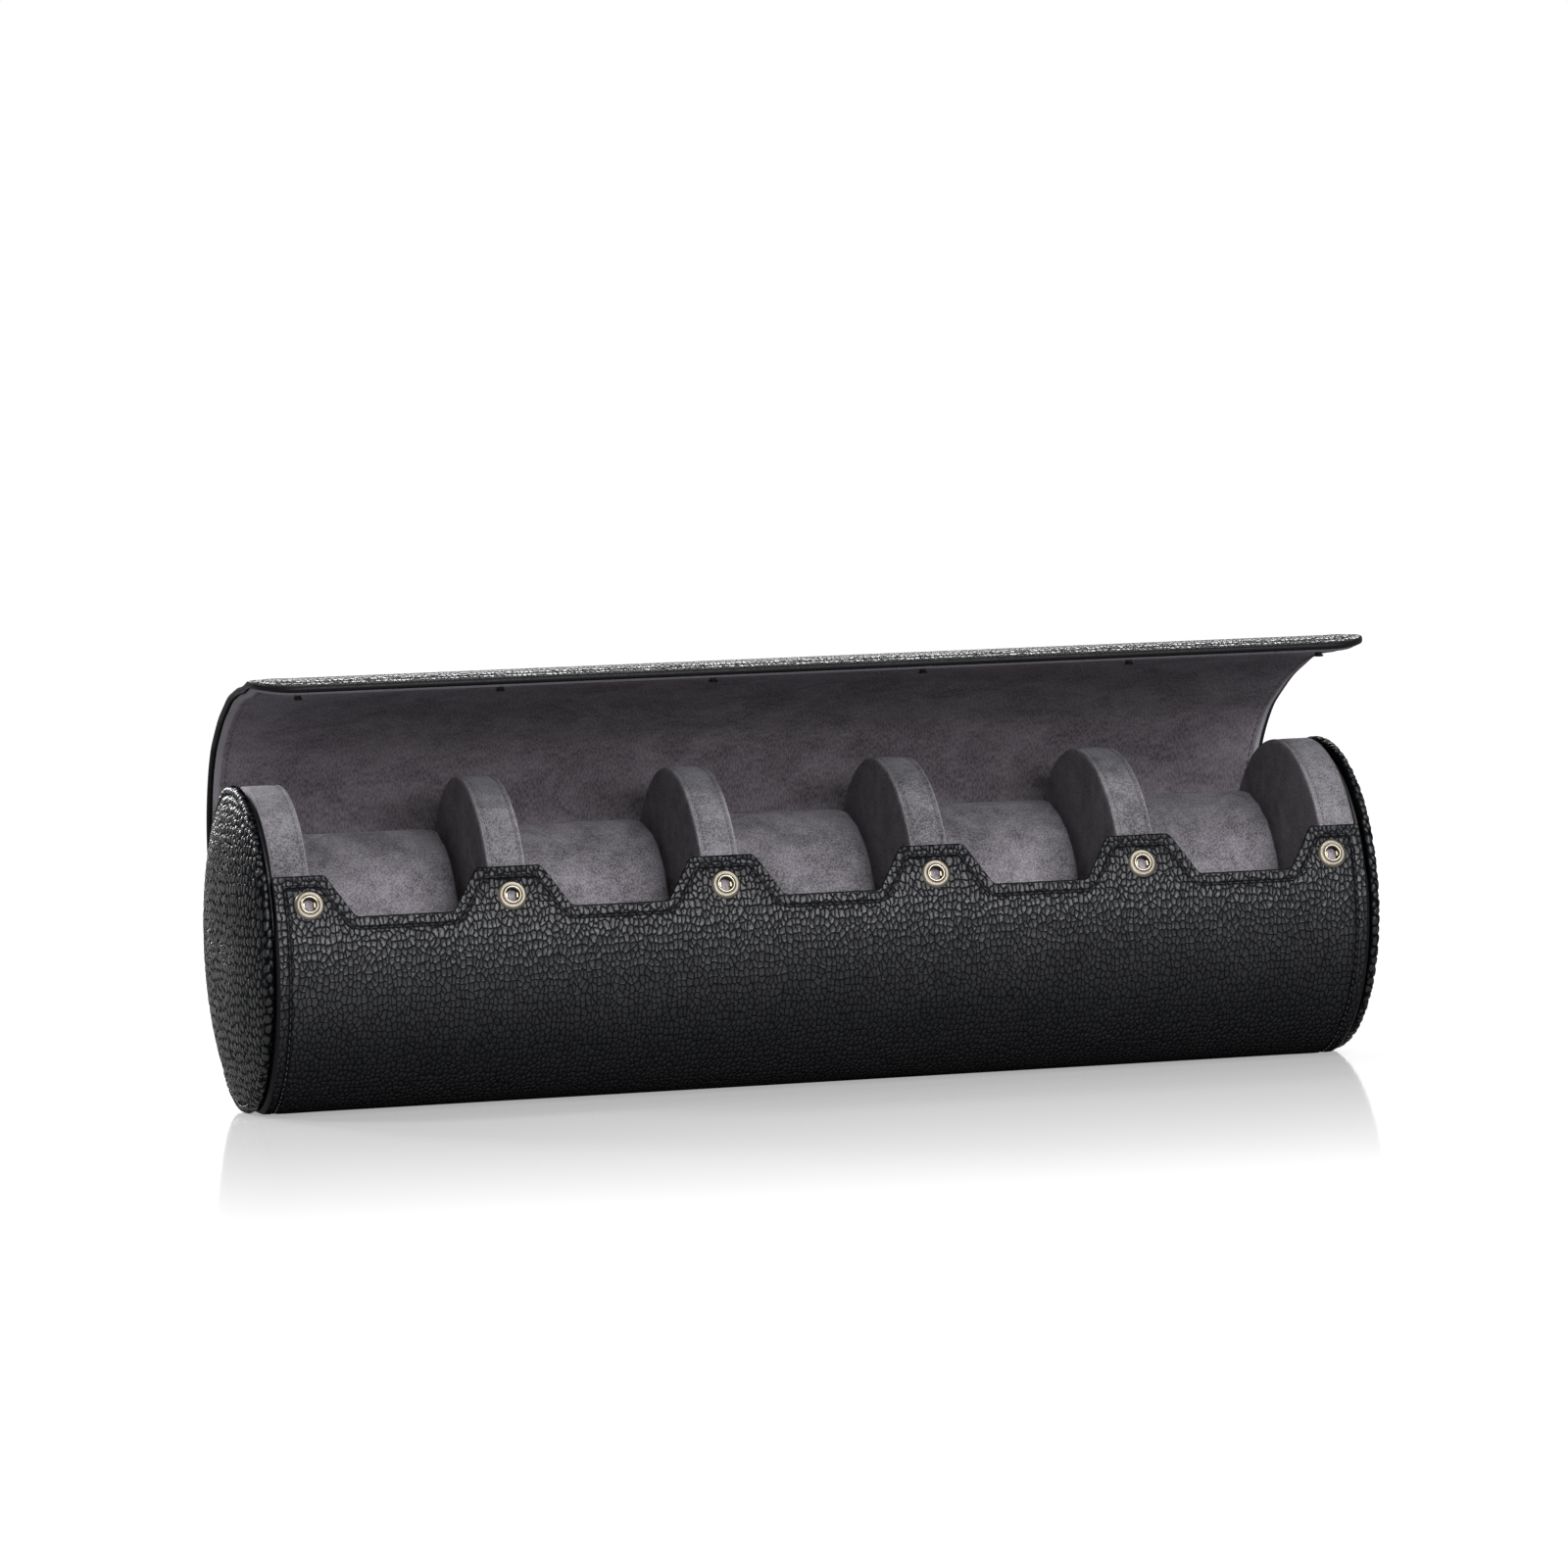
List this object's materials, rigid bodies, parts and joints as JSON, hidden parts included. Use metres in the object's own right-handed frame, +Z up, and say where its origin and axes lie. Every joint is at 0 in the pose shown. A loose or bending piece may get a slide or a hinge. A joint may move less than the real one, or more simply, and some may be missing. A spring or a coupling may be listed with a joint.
{
  "type": "watch travel case",
  "caption": "Cylindrical leather travel case for wristwatches: padded end caps, round dividers, lift-out cushions and a flexible lid that closes on press studs.",
  "frame": {"origin": "on the table, in the middle of the flat strip the case stands on, below the middle of the shell's axis", "axes": "+X along the case to its right end seen from the front, +Y to the back where the lid is hinged, +Z up"},
  "size_m": [0.3882, 0.1215, 0.1419],
  "materials": {
    "leather": "pebble-grained black leather",
    "piping": "smooth black leather piping",
    "lining": "mauve-grey microfibre suede",
    "suede": "mauve-grey microfibre suede",
    "board": "grey-brown fibre board",
    "foam": "pale foam",
    "nickel": "polished nickel plate",
    "spring_brass": "drawn spring wire",
    "rivet_steel": "plated steel",
    "stud_metal": "dark plated steel"
  },
  "bodies": {
    "case": {"case_leather": "leather", "case_board": "board", "case_lining": "lining", "hinge_leather": "leather", "left_cap_board": "board", "left_cap_padding": "foam", "left_cap_leather": "leather", "left_cap_piping": "piping", "right_cap_board": "board", "right_cap_padding": "foam", "right_cap_leather": "leather", "right_cap_piping": "piping", "divider_1_core": "foam", "divider_1_faces": "suede", "divider_1_band": "suede", "divider_2_core": "foam", "divider_2_faces": "suede", "divider_2_band": "suede", "divider_3_core": "foam", "divider_3_faces": "suede", "divider_3_band": "suede", "divider_4_core": "foam", "divider_4_faces": "suede", "divider_4_band": "suede", "divider_5_core": "foam", "divider_5_faces": "suede", "divider_5_band": "suede", "divider_6_core": "foam", "divider_6_faces": "suede", "divider_6_band": "suede", "snap_sockets": "nickel", "snap_springs": "spring_brass", "socket_posts": "rivet_steel"},
    "cushion_1": {"cushion_1_core": "foam", "cushion_1_cover": "suede"},
    "cushion_2": {"cushion_2_core": "foam", "cushion_2_cover": "suede"},
    "cushion_3": {"cushion_3_core": "foam", "cushion_3_cover": "suede"},
    "cushion_4": {"cushion_4_core": "foam", "cushion_4_cover": "suede"},
    "cushion_5": {"cushion_5_core": "foam", "cushion_5_cover": "suede"},
    "lid_back": {"lid_back_leather": "leather", "lid_back_board": "board", "lid_back_lining": "lining"},
    "lid_middle": {"lid_middle_leather": "leather", "lid_middle_board": "board", "lid_middle_lining": "lining"},
    "lid_front": {"lid_front_leather": "leather", "lid_front_board": "board", "lid_front_lining": "lining", "snap_studs": "stud_metal", "stud_backs": "rivet_steel"}
  },
  "joints": [
    {"name": "lid_hinge", "type": "hinge", "parent": "case", "child": "lid_back", "pos_m": [0, 0.05743, 0.04288], "axis": [-1, 0, 0], "range_deg": [-20, 100]},
    {"name": "lid_bend_rear", "type": "hinge", "parent": "lid_back", "child": "lid_middle", "pos_m": [0, 0.01671, 0.13022], "axis": [-1, 0, 0], "range_deg": [-19, 10]},
    {"name": "lid_bend_front", "type": "hinge", "parent": "lid_middle", "child": "lid_front", "pos_m": [0, -0.01796, 0.13727], "axis": [-1, 0, 0], "range_deg": [-29, 10]},
    {"name": "cushion_1_lift", "type": "slide", "parent": "case", "child": "cushion_1", "axis": [0, 0, 1], "range_m": [0, 0.03]},
    {"name": "cushion_2_lift", "type": "slide", "parent": "case", "child": "cushion_2", "axis": [0, 0, 1], "range_m": [0, 0.03]},
    {"name": "cushion_3_lift", "type": "slide", "parent": "case", "child": "cushion_3", "axis": [0, 0, 1], "range_m": [0, 0.03]},
    {"name": "cushion_4_lift", "type": "slide", "parent": "case", "child": "cushion_4", "axis": [0, 0, 1], "range_m": [0, 0.03]},
    {"name": "cushion_5_lift", "type": "slide", "parent": "case", "child": "cushion_5", "axis": [0, 0, 1], "range_m": [0, 0.03]}
  ]
}
